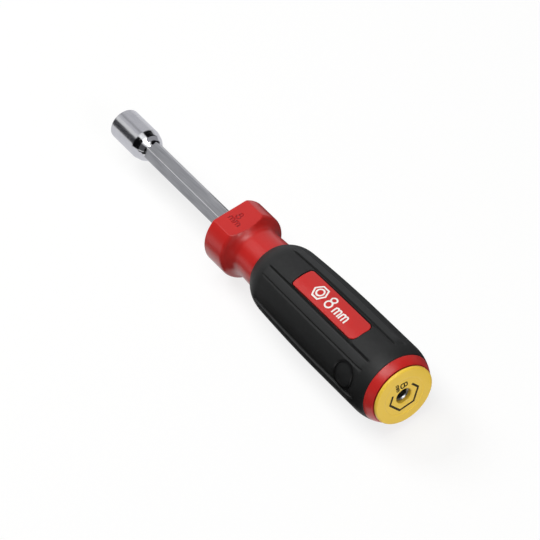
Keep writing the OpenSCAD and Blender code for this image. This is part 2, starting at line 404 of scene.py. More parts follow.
# %% [markdown]
# ## The size mark
# The tool is for 8 mm nuts, and says so on the bolster, the label field and the cap. The mark is
# drawn as pen strokes: an eight is two loops, an m is three stems and two arches. A text object
# would bring a font with it. Strokes serve twice: sunk into the bolster by their distance field, and
# laid on the label field and the cap as thin ribbons of ink.

# %% Pen strokes
LOW_LOOP_WIDE, LOW_LOOP_HIGH = 0.30, 0.28
TOP_LOOP_WIDE, TOP_LOOP_HIGH = 0.25, 0.22
M_SHIFT = 0.66


def arch(centre, radius_right, radius_up, start, end, count=13):
    """Points of an ellipse arc between two angles, in degrees from the right-hand side."""
    angle = np.radians(np.linspace(start, end, count))
    right, up = centre[0] + radius_right * np.cos(angle), centre[1] + radius_up * np.sin(angle)
    return np.stack([right, up], -1)


def eight(height, boxy, wide):
    """Strokes of an eight, centred: a smaller loop on a larger one, each a circle stretched to an
    ellipse. A boxy power below 1 squares the loops, and wide makes them wider."""
    low, high = LOW_LOOP_HIGH * height, TOP_LOOP_HIGH * height
    strokes = []
    for middle, half_width, half_height, start in (
            (low - height / 2, LOW_LOOP_WIDE * height * wide, low, 90),
            (height / 2 - high, TOP_LOOP_WIDE * height * wide, high, -90)):
        ring = arch((0, 0), 1, 1, start, start + 360, 37)
        ring = np.sign(ring) * np.abs(ring) ** boxy
        strokes.append(ring * np.array([half_width, half_height]) + np.array([0, middle]))
    return strokes


def letter_m(height, width):
    """Strokes of an m, centred: three stems, and two round arches between them."""
    bay, foot, top = width / 4, -height / 2, height / 2
    strokes = []
    for side in (-1, 0, 1):
        stem_top = top - (0 if side < 0 else bay)
        strokes.append(np.array([(side * 2 * bay, foot), (side * 2 * bay, stem_top)]))
    return strokes + [arch((side * bay, top - bay), bay, bay, 180, 0) for side in (-1, 1)]


def moved(strokes, right, up):
    """Strokes shifted by a distance to the right and up."""
    return [stroke + np.array([right, up]) for stroke in strokes]


def size_mark(eight_height, m_height, m_width, eight_at, mm_at, boxy=1.0, wide=1.0):
    """An eight and a pair of m, each placed by its centre."""
    shift = M_SHIFT * m_width
    one = letter_m(m_height, m_width)
    pair = moved(one, -shift, 0) + moved(one, shift, 0)
    return moved(eight(eight_height, boxy, wide), *eight_at) + moved(pair, *mm_at)


def stroke_distance(right, up, strokes):
    """Distance from each point p to the nearest stroke. To a segment from a to b it is
    |p - a - t (b - a)|, with t in 0..1."""
    start = np.concatenate([stroke[:-1] for stroke in strokes])
    along = np.concatenate([stroke[1:] - stroke[:-1] for stroke in strokes])
    point = np.stack(np.broadcast_arrays(right, up), -1)[..., None, :]
    share = np.clip(((point - start) * along).sum(-1) / (along**2).sum(-1), 0, 1)
    return np.linalg.norm(point - start - share[..., None] * along, axis=-1).min(-1)


print("strokes in an eight and in an m:", len(eight(1, 1, 1)), "and", len(letter_m(1, 1)))

# %% [markdown]
# ## The bolster
# The core is one red moulding, and it is the most demanding form of the tool. It starts with a round
# bolster that has one flat for the size mark, a rolled rim, and a scoop down to the neck for thumb
# and finger. The flat could be cut with a boolean, but that leaves a knife edge. A smooth minimum of
# the round radius and the plane makes the edge a soft crest. Grid lines crowd together over the
# mark, where fine detail is needed.

# %% Bolster
BOLSTER_R, BOLSTER_LEN, BOLSTER_EDGE, RIM_R, SCOOP_R = 13.9, 10.3, 0.6, 2.2, 4.8
CORE_FACE_R, NECK_R, NECK_REAR_R, NECK_SLOPE_START = 5.0, 10.25, 10.6, 2.0
FLAT_DEPTH, FLAT_CREST, FLAT_FACING, FAR = 2.2, 0.2, 0.2, 50.0
MARK_STATION, MARK_REACH, MARK_STEP, MARK_FACING = 82.6, 4.2, 0.125, 0.8
MARK_STROKE, MARK_WALL = 0.54, 0.14
BOLSTER_MARK = size_mark(
    eight_height=2.75, m_height=1.45, m_width=2.6, eight_at=(-0.1, 1.0), mm_at=(0.6, -1.95), wide=1.15)


def bolster_outline():
    """Outline from the bolster's front face to the grip, with the rim and the scoop as two arcs
    that touch.

    They turn by acos(1 - drop / (rim + scoop)), and each reaches r tan(turn / 2) from its corner."""
    bend = math.acos(1 - (BOLSTER_R - NECK_R) / (RIM_R + SCOOP_R))
    rim = CORE_START + BOLSTER_LEN
    neck = rim + (RIM_R + SCOOP_R) * math.sin(bend)
    half_turn = math.tan(bend / 2)
    return rounded(
        [(CORE_START, CORE_FACE_R), (CORE_START, BOLSTER_R), (rim + RIM_R * half_turn, BOLSTER_R),
         (neck - SCOOP_R * half_turn, NECK_R), (neck + NECK_SLOPE_START, NECK_R),
         (GRIP_START, NECK_REAR_R)],
        (0, BOLSTER_EDGE, RIM_R, SCOOP_R, 0, 0))


def marked_outline():
    """The bolster's outline, with close even rows over the size mark instead of its own."""
    outline = bolster_outline()
    mark_u = np.arange(MARK_STATION - MARK_REACH, MARK_STATION + MARK_REACH, MARK_STEP)
    u, rho = outline.T
    covered = (rho > BOLSTER_R - 1e-6) & (u > mark_u[0]) & (u < mark_u[-1])
    first = int(np.argmax(covered))
    mark_rows = np.stack([mark_u, BOLSTER_R + 0 * mark_u], -1)
    return np.concatenate([outline[:first], mark_rows, outline[first:][~covered[first:]]])


def smooth_minimum(a, b, blend):
    """The smaller of two values, with a rounded crest:
    min(a, b) - max(blend - |a - b|, 0)^2 / (4 blend)."""
    return np.minimum(a, b) - np.maximum(blend - np.abs(a - b), 0) ** 2 / (4 * blend)


def flattened(u, rho, theta):
    """Radius of the bolster cut by the flat's plane, which lies at plane / cos(theta). On the
    rounded front edge the cut scales the radius, so that the edge stays round along the flat."""
    facing = np.cos(theta)
    flat = (BOLSTER_R - FLAT_DEPTH) / np.maximum(facing, FLAT_FACING)
    plane = np.where(facing > FLAT_FACING, flat, FAR)
    scaled = rho * smooth_minimum(BOLSTER_R, plane, FLAT_CREST) / BOLSTER_R
    on_edge = u <= CORE_START + BOLSTER_EDGE
    return np.where(on_edge, scaled, smooth_minimum(rho, plane, FLAT_CREST))


def sunk_mark(u, rho, theta):
    """1 on the floor of the size mark and 0 outside it, with a ramp as wide as the mark's wall at
    half a stroke from the pen's path."""
    reach = stroke_distance(u - MARK_STATION, rho * np.sin(theta), BOLSTER_MARK)
    sunk = np.clip((MARK_STROKE / 2 - reach) / MARK_WALL + 0.5, 0, 1)
    return sunk * (np.cos(theta) > MARK_FACING) * (u < CORE_START + BOLSTER_LEN)


print(f"bolster outline: {len(marked_outline())} rows")

# %% [markdown]
# ## The core's grid lines
# Behind the neck the core goes on as a body hidden in the grip. It rises to the label field, and ends
# in a ring that holds the cap, with a fine gap before the cap that stays in shadow. A subdivided
# mesh could carry all that, but it would need a fine grid everywhere. So grid lines are listed one by
# one: close together where an edge turns, and wide apart where the surface runs plain.

# %% Core grid lines
SEAM_EDGE, STEP_EDGE = 0.28, 0.12
EDGE_SHARES = np.array([0, 0.15, 0.35, 0.65, 1])
GAP_WIDTH, BACK_COLUMNS = 0.4, 90
GAP_START = CORE_END - GAP_WIDTH


def seat_stations():
    """Stations under the grip: close together at both ends of the label field, wide elsewhere."""
    ends = np.array([0.0, 0.06, 0.15, 0.3, 0.6, 1.0, 1.6, 2.3, 3.0])
    return np.concatenate([
        np.linspace(GRIP_START, FIELD_START - 0.5, 20)[1:], [FIELD_START - 0.02],
        FIELD_START + ends, np.linspace(FIELD_START + 4, FIELD_END - 4, 30), FIELD_END - ends[::-1],
        [FIELD_END + 0.02], np.linspace(FIELD_END + 0.5, GRIP_END, 10)])


def ring_stations():
    """Stations of the rear ring, from its rounded seam with the grip to the gap before the cap."""
    return np.concatenate([
        GRIP_END + SEAM_EDGE * EDGE_SHARES, np.linspace(GRIP_END + 0.6, GAP_START - 0.4, 9),
        GAP_START - STEP_EDGE * EDGE_SHARES[::-1], [GAP_START, CORE_END]])


def core_columns(row_u, seat):
    """Station, sideways distance and angle = asin(distance / radius) of every grid point. Columns
    are fine under the mark and on the field's edges, and even ones close the turn at the back."""
    fine = np.arange(0, 3.7, MARK_STEP)
    edges = np.array([FIELD_HALF - 0.06, FIELD_HALF, FIELD_HALF + 0.02])
    side = np.concatenate([[3.9, 4.3, 4.6, 4.75], edges, [5.1, 5.5], np.arange(5.9, 8.9, 0.2)])
    sweep = np.concatenate([fine, side])
    v = np.concatenate([-sweep[:0:-1], sweep])[None, :] + 0 * row_u
    u = row_u + 0 * v
    u[seat], v[seat] = round_corners(u[seat], v[seat], 0.0)
    top = np.arcsin(v / column_radius(u))
    low, high = top[:, -1:], top[:, :1] + 2 * math.pi
    behind = np.linspace(0, 1, BACK_COLUMNS + 2)[None, 1:-1]
    theta = np.concatenate([top, low + behind * (high - low)], 1)
    u = np.concatenate([u, row_u + 0 * behind], 1)
    v = np.concatenate([v, FAR + 0 * row_u + 0 * behind], 1)
    return u, v, theta


print(f"core: {len(seat_stations())} rows under the grip, {len(ring_stations())} on the rear ring")

# %% [markdown]
# ## The core
# On that grid the radius of each stretch is filled in: the bolster with its sunk mark, the seat under
# the grip with the label field, the rear ring, and then inside, the pocket for the cap's plug and the
# hexagon hole for the shaft. Turned solids could be joined with booleans instead, but one skin keeps
# every edge round. Each point also stores a painted shade that darkens the red on the floor of the
# stamped mark and in the narrow gap before the cap, where shade falls.

# %% Core
CORE_R, PLUG_R, GAP_DEPTH = 12.3, 11.0, 0.6
FIELD_DROP, FIELD_EDGE, FIELD_SLACK = 0.25, 0.2, 0.005
# Painted shade: how far the red is darkened on the mark's floor and in the gap before the cap.
MARK_DEPTH, MARK_PAINTED_SHADE, GAP_PAINTED_SHADE = 0.24, 0.8, 1.0


def seat_radius(u):
    """Radius of the core under the grip: an even rise along the shoulder, then level."""
    return np.interp(u, [GRIP_START, SHOULDER_END], [NECK_REAR_R, CORE_R])


def edge_rounding(distance, radius):
    """How far a rounded edge lies below its face at a distance d in from the edge:
    r - sqrt(r^2 - (r - d)^2)."""
    inside = np.clip(radius - distance, 0, radius)
    return radius - np.sqrt(radius**2 - inside**2)


def core_grid():
    """Rows: bolster, neck, seat of the grip with the label field, rear ring, plug pocket and the
    hexagon hole. The last grid is the painted shade on the mark's floor and in the gap before the cap."""
    front, seat_u, ring_u = marked_outline(), seat_stations(), ring_stations()
    rear_u = [CORE_END, PLUG_START, PLUG_START, CORE_START]
    row_u = np.concatenate([front[:, 0], seat_u, ring_u, rear_u])[:, None]
    seat_at, ring_at, rear_at = np.cumsum([len(front), len(seat_u), len(ring_u)])
    bolster, seat, ring = slice(seat_at), slice(seat_at, ring_at), slice(ring_at, rear_at)
    u, v, theta = core_columns(row_u, seat)

    rho = np.zeros_like(theta)
    rho[bolster] = flattened(u[bolster], front[:, 1:], theta[bolster])
    sunk = sunk_mark(u[bolster], rho[bolster], theta[bolster])
    rho[bolster] = rho[bolster] - MARK_DEPTH * sunk
    outside = field_distance(u[seat], v[seat], 0.0)
    field_r = handle_radius(u[seat]) - FIELD_DROP - edge_rounding(-outside, FIELD_EDGE)
    rho[seat] = np.where(outside < FIELD_SLACK, field_r, seat_radius(row_u[seat]))
    seam = edge_rounding(row_u[ring] - GRIP_END, SEAM_EDGE)
    step = edge_rounding(GAP_START - row_u[ring], STEP_EDGE)
    rho[ring] = handle_radius(row_u[ring]) - (seam + step)
    rho[rear_at - 2:rear_at] = CAP_R - GAP_DEPTH
    rho[rear_at:-2] = PLUG_R
    rho[-2:] = bar_radius(theta[-2:])

    # Painted shade: the red is drawn darker on the mark's floor and on the gap's rows before the cap.
    painted_shade = np.zeros_like(rho)
    painted_shade[bolster] = MARK_PAINTED_SHADE * sunk
    painted_shade[rear_at - 3:rear_at] = GAP_PAINTED_SHADE
    return u, rho, theta, painted_shade


*core_shape, core_painted_shade = core_grid()
core = ring_solid("handle_moulding", *core_shape)
# The mark attribute carries the painted shade of the mark's floor and of the gap before the cap.
paint(core, "mark", core_painted_shade)

# %% [markdown]
# ## The grip's grid lines
# The grip is a soft black sleeve moulded over the core. Six strips run along it, and a window lets
# the label field through. It could be carved from a smooth tube with modifiers, but the strips keep
# one width while the tube swells. So its columns are placed by sideways distance from each strip.

# %% Grip grid lines
FIELD_GAP = 0.3
WINDOW_START, WINDOW_END = FIELD_START - FIELD_GAP, FIELD_END + FIELD_GAP
WINDOW_HALF = FIELD_HALF + FIELD_GAP


def grip_columns(u):
    """Angles of the columns, close together at the strips' edges and on the window's sides, and
    the numbers of the two columns that lie on those sides."""
    rim = np.array([2.2, 2.12, 2.06, 2.0, 1.93, 1.87, 1.8, 1.7, 1.55, 1.0])
    across = np.concatenate([-rim, [0], rim[::-1]])
    near = np.array([WINDOW_HALF + 0.12, WINDOW_HALF + 0.05, WINDOW_HALF])
    side = np.concatenate([near, [4.9, 4.5, 4.0, 3.4, 2.7, 1.9, 1.0]])
    label = np.concatenate([-side, [0], side[::-1]])
    radius = column_radius(u)
    strip = np.arcsin(across / radius)
    share = np.linspace(0, 1, 16)[None, 1:-1]
    columns = [np.arcsin(label / radius)]
    for k in range(6):
        middle = SIXTH / 2 + SIXTH * k
        columns.append(middle + strip)
        if k < 5:
            start, end = middle + strip[:, -1:], middle + SIXTH + strip[:, :1]
            columns.append(start + share * (end - start))
    left, right = (int(np.argmax(label == edge)) for edge in (-WINDOW_HALF, WINDOW_HALF))
    return np.concatenate(columns, 1), left, right


def grip_rows():
    """Stations: close together on the nose, on the window's ends and at the rear seam."""
    rim = np.array([0.0, 0.1, 0.25])
    inner = np.array([0.3, 0.7, 1.1, 1.6, 2.2, 2.8])
    return np.concatenate([
        GRIP_START + np.linspace(0, 1, 26) ** 1.3 * 12,
        np.linspace(GRIP_START + 12.8, WINDOW_START - 0.7, 12),
        WINDOW_START - rim[:0:-1], WINDOW_START + np.concatenate([[0], inner]),
        np.linspace(WINDOW_START + 3.4, WINDOW_END - 4, 44),
        WINDOW_END - np.concatenate([inner[::-1], [0]]), WINDOW_END + rim[1:],
        np.linspace(WINDOW_END + 0.7, TAIL_START - 1, 10),
        np.linspace(TAIL_START, GRIP_END - 0.6, 14), GRIP_END - SEAM_EDGE * EDGE_SHARES[::-1]])


print(f"grip: {len(grip_rows())} rows along the sleeve")

# %% [markdown]
# ## The grip's surface
# The surface is a height map over that grid. Each strip has soft edges and a fine groove at its foot,
# and the edge of the window is rounded. A bump in the material would be cheaper, but it would not
# show on the outline. Each point also stores how far it stands up on a strip, and the rubber is
# drawn paler there.

# %% Grip surface
STRIP_HEIGHT, STRIP_FADE, STRIP_HALF = 0.4, 3.0, 1.85
STRIP_EDGE_AT, STRIP_EDGE_WIDTH = STRIP_HALF + 0.06, 0.2
FOOT_GROOVE, FOOT_AT, FOOT_WIDTH, FOOT_SHOWS = 0.48, 2.07, 0.21, 0.15
WINDOW_EDGE, LABEL_FACING, LEAST_WALL = 0.25, 0.9, 0.15


def strip_relief(u, base, theta):
    """Height of the strips' own curve over the grip, how much of it each point has, and the groove.

    The share is a smooth step over the strip's edge, t^2 (3 - 2 t). The groove is a bell curve,
    exp(-((distance - foot) / width)^2), which fades out where the strip does."""
    raised = np.maximum(handle_radius(u, STRIP_HEIGHT, STRIP_FADE) - base, 0)
    raised = np.where(u > GRIP_START + STRIP_FADE, raised, 0)
    off_strip = np.abs(column_radius(u) * np.sin(theta % SIXTH - SIXTH / 2))
    rise = np.clip((STRIP_EDGE_AT - off_strip) / STRIP_EDGE_WIDTH, 0, 1)
    rise = rise * rise * (3 - 2 * rise)
    shown = np.clip(raised / FOOT_SHOWS, 0, 1)
    foot = FOOT_GROOVE * np.exp(-(((off_strip - FOOT_AT) / FOOT_WIDTH) ** 2)) * shown
    return raised, rise, foot


def grip_surface():
    """Stations, angles, outer and inner radii, the strips' paleness, and the window's grid lines.

    Outer radius = handle curve + strips - grooves - rounding at the window and at the rear seam."""
    row_u = grip_rows()[:, None]
    theta, left, right = grip_columns(row_u)
    radius = column_radius(row_u)
    near_label = np.cos(theta) > LABEL_FACING
    v = radius * np.sin(theta)
    u_slid, v_slid = round_corners(row_u + 0 * v, v, FIELD_GAP)
    u = np.where(near_label, u_slid, row_u)
    theta = np.where(near_label, np.arcsin(np.clip(v_slid / radius, -1, 1)), theta)

    base = handle_radius(u)
    raised, rise, foot = strip_relief(u, base, theta)
    outside = field_distance(u, column_radius(u) * np.sin(theta), FIELD_GAP)
    outside = np.where(near_label, outside, FAR)
    outer = base + raised * rise - foot
    outer = outer - edge_rounding(outside, WINDOW_EDGE) - edge_rounding(GRIP_END - u, SEAM_EDGE)
    inner = seat_radius(u)
    strip_paleness = rise * np.clip(raised / STRIP_HEIGHT, 0, 1) ** 2
    first, last = (int(np.argmin(np.abs(row_u - end))) for end in (WINDOW_START, WINDOW_END))
    return u, theta, np.maximum(outer, inner + LEAST_WALL), inner, strip_paleness, (first, last, left, right)


print(f"grip: largest radius {grip_surface()[2].max():.2f} mm on the strips")

# %% [markdown]
# ## The grip's window
# The window is a hole right through the sleeve. Its quads are left out of the outer and of the inner
# surface, and a row of wall quads joins the two along each of its four sides. Points that no quad
# uses any more are dropped, so that the mesh is one closed skin.

# %% Grip
def grip_piece():
    """Outer height map, inner seat on the core, and the walls of the window between them."""
    u, theta, outer, inner, strip_paleness, (first, last, left, right) = grip_surface()
    points = np.concatenate([around(u, outer, theta), around(u, inner, theta)[::-1]])
    rows, cols = points.shape[:2]
    keep = np.ones((rows, cols), bool)
    keep[first:last, left:right] = False
    keep[rows - 1 - last:rows - 1 - first, left:right] = False

    along, across = np.arange(first, last), np.arange(left, right)
    walls = []
    for i, j, di, dj, flip in ((along, left, 1, 0, True), (along, right, 1, 0, False),
                               (first, across, 0, 1, False), (last, across, 0, 1, True)):
        top, top_next = i * cols + j, (i + di) * cols + j + dj
        deep, deep_next = (rows - 1 - i) * cols + j, (rows - 1 - i - di) * cols + j + dj
        wall = np.stack([top, deep, deep_next, top_next], -1)
        walls.append(wall[:, ::-1] if flip else wall)
    faces = np.concatenate([wrapped_quads(rows, cols)[keep]] + walls)
    used = np.zeros(rows * cols, bool)
    used[faces.ravel()] = True
    renumber = np.cumsum(used) - 1
    piece = mesh_piece("soft_grip", points.reshape(-1, 3)[used], renumber[faces])
    paint(piece, "strip", np.concatenate([strip_paleness, 0 * strip_paleness]).ravel()[used])
    return piece


grip = grip_piece()

# %% [markdown]
# ## The end cap
# A yellow cap closes the handle, so the size can be told by colour when the tool stands in a rack.
# Its plug sits in the core, its edge is rolled, its face has a shallow dish, and a hole lets a long
# bolt come through. It is a plain turned shape, so one outline is enough.

# %% Cap
PLUG_FACE_OUT, PLUG_FACE_IN = 8.0, 7.0
CAP_EDGE, DISH_R, DISH_DEPTH, DISH_WALL = 0.7, 8.4, 0.2, 0.22
HOLE_R, HOLE_BEVEL, FACE_EDGE = 3.2, 0.35, 0.2


def cap_grid(columns=160):
    """The outline of the plug, the rolled edge, the dish and the bevelled hole, the same at every
    angle."""
    dish = CAP_FACE - DISH_DEPTH
    outline = rounded(
        [(PLUG_START, PLUG_FACE_OUT), (PLUG_START, PLUG_R), (CORE_END, PLUG_R), (CORE_END, CAP_R),
         (CAP_FACE, CAP_R), (CAP_FACE, DISH_R + DISH_WALL), (dish, DISH_R - DISH_WALL),
         (dish, HOLE_R + HOLE_BEVEL), (dish - HOLE_BEVEL, HOLE_R), (PLUG_START, HOLE_R),
         (PLUG_START, PLUG_FACE_IN)],
        (0, 0, 0, STEP_EDGE, CAP_EDGE, FACE_EDGE, FACE_EDGE, FACE_EDGE, FACE_EDGE, 0, 0))
    return outline[:, :1], outline[:, 1:], full_turn(columns)


cap = ring_solid("yellow_cap", *cap_grid())

# %% [markdown]
# ## Ribbons for ink and moulded lines
# The marks on the tool are thin ribbons: a flat rectangle carried along pen strokes with mitred
# corners, then bent onto the surface that it lies on. Paint in a texture would be blurred at this
# size, and a ribbon stays crisp in every view.

# %% Ribbons
def ribbon_edges(stroke, width, closed):
    """Left and right edge of a flat line. Each point moves along its mitre, by half the width over
    the cosine of half the turn."""
    step = np.diff(stroke, axis=0)
    step = step / np.linalg.norm(step, axis=1, keepdims=True)
    before = np.concatenate([step[-1:] if closed else step[:1], step])
    after = np.concatenate([step, step[:1] if closed else step[-1:]])
    mitre = before + after
    normal = np.stack([-mitre[:, 1], mitre[:, 0]], -1)
    normal = normal / (normal * np.stack([-before[:, 1], before[:, 0]], -1)).sum(1, keepdims=True)
    return stroke + normal * width / 2, stroke - normal * width / 2


def finely(stroke, step=0.3):
    """The same stroke with a point at least every step, so that it can bend with a surface."""
    runs = [straight(start, end, step)[:-1] for start, end in zip(stroke[:-1], stroke[1:])]
    return np.concatenate(runs + [stroke[-1:]])


def ribbon(name, strokes, width, low, high, onto):
    """Solid ribbons along strokes, from height low to high over a surface. Onto(right, up, height)
    bends them to it. A section is four points, and quads join each section to the next."""
    points, faces, used = [], [], 0
    for stroke in map(finely, strokes):
        closed = bool(np.allclose(stroke[0], stroke[-1]))
        left, right = ribbon_edges(stroke, width, closed)
        corners = ((left, high), (right, high), (right, low), (left, low))
        grid = np.stack([onto(edge[:, 0], edge[:, 1], height) for edge, height in corners], 1)
        grid = grid[:-1] if closed else grid
        rows = len(grid)
        quads = wrapped_quads(rows, 4)[..., [0, 3, 2, 1]]
        if not closed:
            ends = [[3, 2, 1, 0]], [np.arange(4) + 4 * (rows - 1)]
            quads = np.concatenate([quads[:-1].reshape(-1, 4), *ends])
        points.append(grid.reshape(-1, 3))
        faces.append(quads.reshape(-1, 4) + used)
        used += rows * 4
    return mesh_piece(name, np.concatenate(points), np.concatenate(faces))


def on_cap(right, up, height):
    """A flat face that looks along +X, read with +Y up: right is -Z."""
    face = MOUTH_X + CAP_FACE - DISH_DEPTH + height
    return np.stack([face + 0 * right, up, AXIS_Z - right], -1)


def on_handle(station, angle):
    """Bends a mark onto the handle round one point: right runs along the tool, up runs round it."""
    def onto(right, up, height):
        u = station + right
        radius = handle_radius(u)
        return around(u, radius + height, angle + up / radius)
    return onto


print(f"printed face of the cap: station {CAP_FACE - DISH_DEPTH:.2f}")

# %% [markdown]
# ## The marks
# The cap carries an open hexagon and the size, printed in dark ink. The label field carries a plain
# nut and the size in white, and one panel of the grip has a plain moulded ring. Ink is a layer far
# thinner than paper. It is drawn a little thicker, and reaches down into the face, so that no gap
# can open under it.

# %% Marks
INK_HEIGHT = 0.03
HEXAGON_R, HEXAGON_TURN, SHORT_SIDE, CAP_LINE = 6.3, 3, 0.64, 0.85
CAP_EIGHT_LINE, CAP_UNIT_LINE, FIELD_LINE = 0.5, 0.38, 0.7
NUT_R, NUT_HOLE_R, NUT_AT = 3.2, 1.6, -7.4
RING_STATION, RING_ANGLE, RING_R, RING_LINE, RING_HEIGHT = 168.8, -60, 4.9, 0.8, 0.42


def spokes(radius, degrees):
    """Points at one radius and at the given angles from the right-hand side."""
    angle = np.radians(np.asarray(degrees, float))
    return radius * np.stack([np.cos(angle), np.sin(angle)], -1)


def open_hexagon(radius):
    """Five sides of a hexagon that opens to the left, with a short first and last side."""
    corners = spokes(radius, HEXAGON_TURN + np.array([150, 90, 30, -30, -90, -150]))
    corners[0] = corners[1] + SHORT_SIDE * (corners[0] - corners[1])
    corners[-1] = corners[-2] + SHORT_SIDE * (corners[-1] - corners[-2])
    return [corners]


cap_mark = size_mark(
    eight_height=2.75, m_height=1.2, m_width=1.35, eight_at=(-5.4, 0.8), mm_at=(-5.62, -2.1),
    boxy=0.7, wide=1.3)
cap_hexagon, cap_eight, cap_unit = (
    ribbon(name, strokes, line, -INK_HEIGHT, INK_HEIGHT, on_cap)
    for name, strokes, line in (("cap_hexagon_ink", open_hexagon(HEXAGON_R), CAP_LINE),
                                ("cap_size_ink", cap_mark[:2], CAP_EIGHT_LINE),
                                ("cap_unit_ink", cap_mark[2:], CAP_UNIT_LINE)))

nut_outline = [spokes(NUT_R, range(0, 361, 60)), spokes(NUT_HOLE_R, range(0, 361, 12))]
field_size = size_mark(
    eight_height=5.2, m_height=2.9, m_width=3.1, eight_at=(-0.6, 0.0), mm_at=(6.6, -1.15))
field_ink = ribbon(
    "label_field_ink", moved(nut_outline, NUT_AT, 0) + field_size, FIELD_LINE,
    -FIELD_DROP - INK_HEIGHT, INK_HEIGHT - FIELD_DROP,
    on_handle((FIELD_START + FIELD_END) / 2, 0.0))
grip_ring = ribbon(
    "grip_moulded_ring", [spokes(RING_R, range(0, 361, 4))], RING_LINE, -RING_HEIGHT, RING_HEIGHT,
    on_handle(RING_STATION, math.radians(RING_ANGLE)))

# %% [markdown]
# ## Colours and nodes
# Colours are picked as sRGB hex values, the way a paint or a pellet of plastic would be matched on a
# screen, and one function turns them into the linear values that light needs. Patterns are sized in
# millimetres: a noise texture on object coordinates, which are metres, repeats about once per
# 1 / scale.

# %% Colour and node helpers
MIX_FACTOR, MIX_A, MIX_B = 0, 6, 7


def linear(hex_colour):
    """sRGB to linear light: c / 12.92 for the darkest values, ((c + 0.055) / 1.055) ^ 2.4 for the
    rest."""
    channel = np.array([int(hex_colour[k:k + 2], 16) for k in (1, 3, 5)]) / 255
    light = np.where(channel <= 0.04045, channel / 12.92, ((channel + 0.055) / 1.055) ** 2.4)
    return (*light.tolist(), 1.0)


def add(tree, kind, inputs=None, **settings):
    """Adds one shader node. Settings are its properties. Each input is a value, the socket that
    feeds it, or a node that feeds it from its first live output."""
    node = tree.nodes.new("ShaderNode" + kind)
    for name, value in settings.items():
        setattr(node, name, value)
    for name, value in (inputs or {}).items():
        if isinstance(value, bpy.types.Node):
            value = next(output for output in value.outputs if output.enabled)
        if isinstance(value, bpy.types.NodeSocket):
            tree.links.new(value, node.inputs[name])
        else:
            node.inputs[name].default_value = value
    return node


def material(name):
    """An empty node material and its tree."""
    made = bpy.data.materials.new(name)
    made.use_nodes = True
    made.node_tree.nodes.clear()
    print("finish:", name)
    return made, made.node_tree


def per_mm(size):
    """Texture scale at which a pattern has one feature per size, in mm."""
    return 1 / (size * MM)


print("middle grey in linear light:", round(linear("#808080")[0], 3))

# %% [markdown]
# ## Polished chrome
# The socket is bright chrome over polished steel, so it shows the room like a mirror, softened a
# little by polishing lines. The barrel was ground to size before plating and mirrors less sharply
# than the turned taper behind it, so its roughness is set by the place along the tool. Two materials
# would leave a hard seam between them.

# %% Polished chrome
GROUND_ROUGH, GROUND_FADE = 0.22, 0.4


def polished_chrome():
    """Bright chrome plate: a mirror, cool in tint, with faint cloudiness from the polishing wheel.
    It is softer on the ground barrel."""
    made, tree = material("chrome_plate_polished")
    place = add(tree, "TexCoord").outputs["Object"]
    cloud = add(tree, "TexNoise", {"Vector": place, "Scale": per_mm(3), "Detail": 3.0})
    tint = add(tree, "Mix", {MIX_FACTOR: cloud, MIX_A: linear("#D2D3D8"), MIX_B: linear("#E2E2E4")},
               data_type="RGBA")
    haze = add(tree, "MapRange", {"Value": cloud, "To Min": 0.06, "To Max": 0.14})
    along = add(tree, "SeparateXYZ", {"Vector": place})
    ground_end = MOUTH_X + BARREL_END
    ground = add(tree, "MapRange", {
        "Value": along, "From Min": ground_end * MM, "From Max": (ground_end + GROUND_FADE) * MM,
        "To Min": GROUND_ROUGH, "To Max": haze})
    # Real polishing lines are about 0.01 mm apart. They are drawn at 0.15 mm so that they show.
    line = add(tree, "TexNoise", {"Vector": place, "Scale": per_mm(0.15), "Detail": 2.0})
    bump = add(tree, "Bump", {"Height": line, "Strength": 0.06, "Distance": 0.01 * MM})
    metal = add(tree, "BsdfPrincipled",
                {"Base Color": tint, "Metallic": 1.0, "Roughness": ground, "Normal": bump})
    add(tree, "OutputMaterial", {"Surface": metal})
    return made


socket_chrome = polished_chrome()

# %% [markdown]
# ## Satin chrome
# The shaft has the same plate over a drawn surface, which spreads reflections into an even grey with
# fine lines along its length. Its corners are the first thing that a hand, a rag or a spanner
# touches, so they are burnished smoother, and a brighter tint on them is a painted highlight in
# narrow bright lines. An anisotropic shader could stretch the reflections too, but stretched noise
# also gives the lines themselves.

# %% Satin chrome
def satin_chrome():
    """Chrome plate over a drawn bar: soft grey, with fine lines along the bar that stretch every
    highlight, and burnished corners whose brighter tint is a painted highlight."""
    made, tree = material("chrome_plate_satin")
    place = add(tree, "TexCoord").outputs["Object"]
    # Drawing lines are about 0.05 mm apart. They are drawn at 0.45 mm so that they show, and run
    # 9 mm along the bar.
    drawn = add(tree, "Mapping", {"Vector": place, "Scale": (per_mm(9), per_mm(0.45), per_mm(0.45))})
    lines = add(tree, "TexNoise", {"Vector": drawn, "Scale": 1.0, "Detail": 3.0})
    cloud = add(tree, "TexNoise", {"Vector": place, "Scale": per_mm(5), "Detail": 2.0})
    tint = add(tree, "Mix", {MIX_FACTOR: lines, MIX_A: linear("#8F9094"), MIX_B: linear("#D0D1D3")},
               data_type="RGBA")
    haze = add(tree, "MapRange", {"Value": cloud, "To Min": 0.3, "To Max": 0.44})
    land = add(tree, "Attribute", attribute_name="land").outputs["Fac"]
    # Painted highlight: the lands get a brighter tint, beside the lower roughness of burnishing.
    tint = add(tree, "Mix", {MIX_FACTOR: land, MIX_A: tint, MIX_B: linear("#E8E8EA")}, data_type="RGBA")
    haze = add(tree, "MapRange", {"Value": land, "To Min": haze, "To Max": 0.16})
    bump = add(tree, "Bump", {"Height": lines, "Strength": 0.12, "Distance": 0.02 * MM})
    metal = add(tree, "BsdfPrincipled",
                {"Base Color": tint, "Metallic": 1.0, "Roughness": haze, "Normal": bump})
    add(tree, "OutputMaterial", {"Surface": metal})
    return made


shaft_chrome = satin_chrome()

